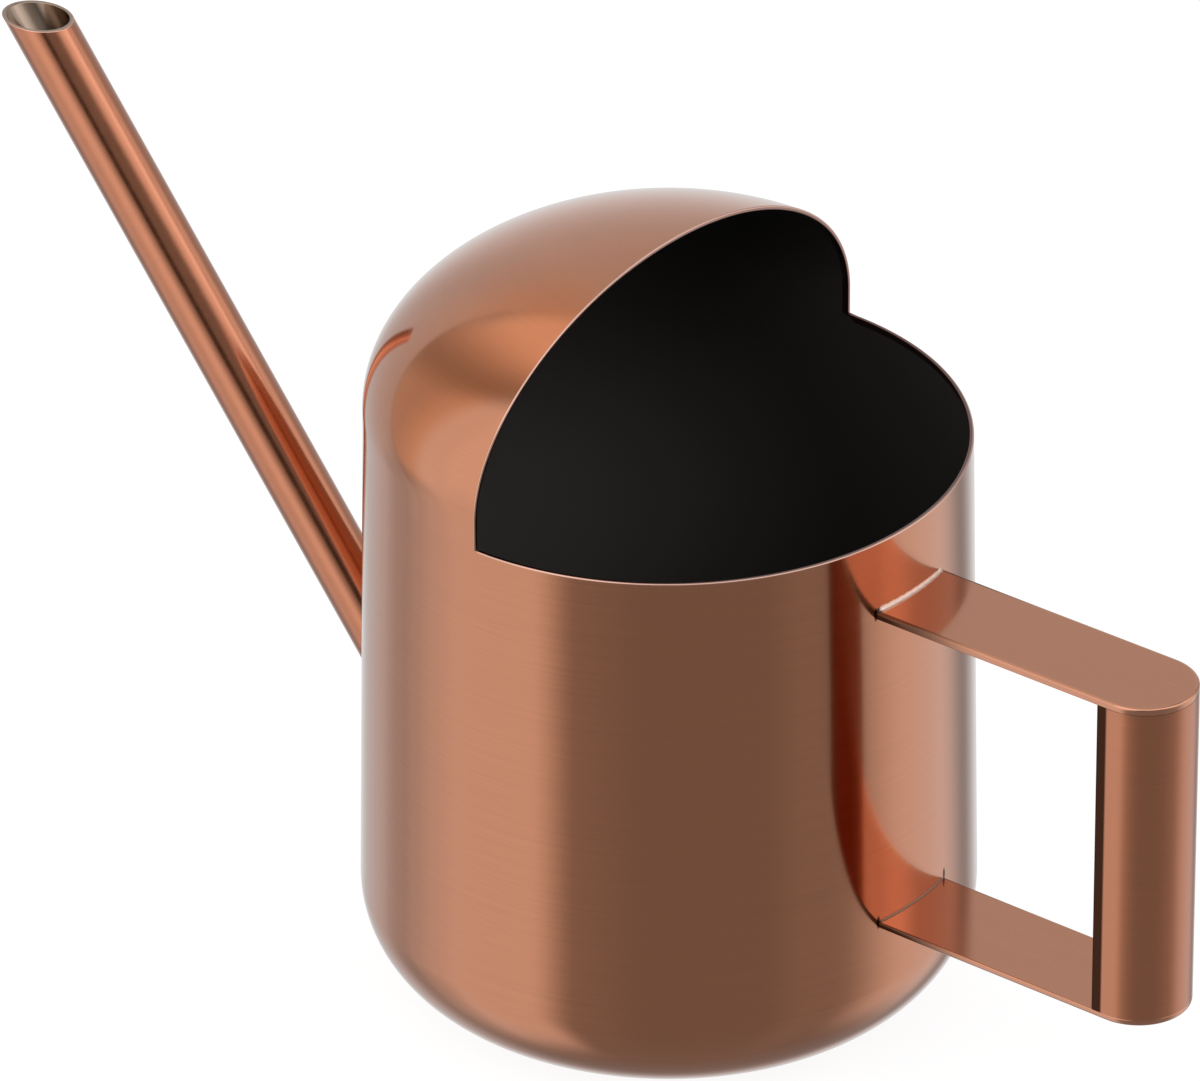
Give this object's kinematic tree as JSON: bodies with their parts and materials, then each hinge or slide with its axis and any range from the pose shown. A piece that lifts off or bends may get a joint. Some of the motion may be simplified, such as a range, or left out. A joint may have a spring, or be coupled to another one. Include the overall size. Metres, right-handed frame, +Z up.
{
  "type": "watering can",
  "caption": "Indoor watering can: drafted round vessel with a rounded bottom edge, a half-dome hood, a straight slanted spout and a two-arm handle with an upright grip.",
  "frame": {"origin": "centre of the flat base, on the vessel's axis, at the level it stands on", "axes": "+Z up along the vessel's axis, +X towards the handle, -X towards the spout; Y = 0 is the mirror plane"},
  "size_m": [0.3077, 0.1286, 0.1695],
  "materials": {
    "copper_finish": "copper-coloured stainless steel, brushed level all round; the inside of the vessel is matt black",
    "weld_bead": "copper-coloured weld bead, polished"
  },
  "bodies": {
    "root": {"hood": "copper_finish", "body_wall": "copper_finish", "base_pan": "copper_finish", "spout_tube": "copper_finish", "spout_weld": "weld_bead", "upper_handle_arm": "copper_finish", "upper_arm_weld": "weld_bead", "lower_handle_arm": "copper_finish", "lower_arm_weld": "weld_bead", "handle_grip": "copper_finish"}
  },
  "joints": []
}
